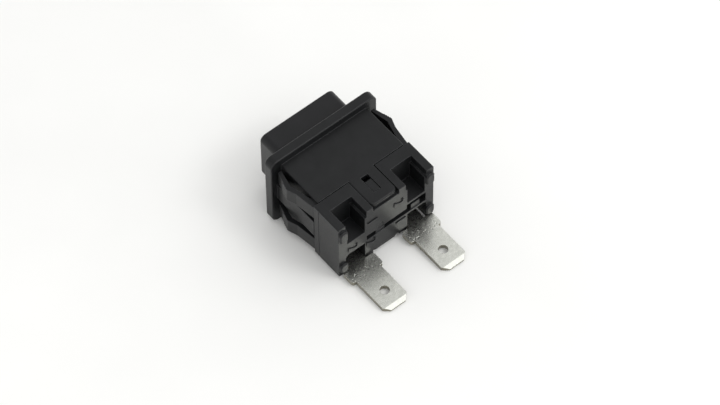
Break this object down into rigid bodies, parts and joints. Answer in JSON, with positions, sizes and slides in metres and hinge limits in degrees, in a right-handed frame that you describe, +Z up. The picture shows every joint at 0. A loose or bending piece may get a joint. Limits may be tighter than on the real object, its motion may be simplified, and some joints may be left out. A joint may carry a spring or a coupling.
{
  "type": "panel push button switch",
  "caption": "Rectangular snap-in panel push-button switch with a hollow push cap, flanged bezel housing, sprung side leaves, rear terminal block and blade terminals.",
  "frame": {"origin": "centre of the bezel flange's rear face, where it seats on the panel", "axes": "+Y from the button to the terminals, along the travel; +X right as seen from the user's side; +Z up, away from the face the blades lie on"},
  "size_m": [0.021, 0.0323, 0.0158],
  "materials": {
    "black_plastic": "matte moulded",
    "button_plastic": "satin moulded",
    "plunger_plastic": "matte moulded",
    "plated_brass": "tin plated",
    "contact_silver": "polished",
    "bridge_brass": "stamped",
    "spring_steel": "drawn"
  },
  "bodies": {
    "housing": {"bezel_housing": "black_plastic", "base": "black_plastic", "terminal_left": "plated_brass", "terminal_right": "plated_brass", "fixed_contact_left": "contact_silver", "fixed_contact_right": "contact_silver", "latch_spring": "spring_steel", "return_spring": "spring_steel"},
    "button": {"button_cap": "button_plastic", "plunger": "plunger_plastic", "contact_spring": "spring_steel"},
    "bridge": {"bridge_bar": "bridge_brass", "moving_contact_left": "contact_silver", "moving_contact_right": "contact_silver"},
    "latch": {"latch_pin": "spring_steel"}
  },
  "joints": [
    {"name": "button_slide", "type": "slide", "parent": "housing", "child": "button", "axis": [0, 1, 0], "range_m": [0, 0.0035], "stiffness_N_per_m": 400, "springref_m": -0.005, "deforming": ["return_spring"]},
    {"name": "bridge_slide", "type": "slide", "parent": "housing", "child": "bridge", "axis": [0, 1, 0], "range_m": [0, 0.002], "deforming": ["contact_spring"]},
    {"name": "latch_swing", "type": "hinge", "parent": "housing", "child": "latch", "pos_m": [0, 0.0099, 0.00459], "axis": [0, 0, 1], "range_deg": [0, 13.6]}
  ],
  "couplings": [
    {"joint": "bridge_slide", "follows": "button_slide", "ratio": 0.5714},
    {"joint": "latch_swing", "follows": "button_slide", "rad_per_m": 67.49}
  ]
}
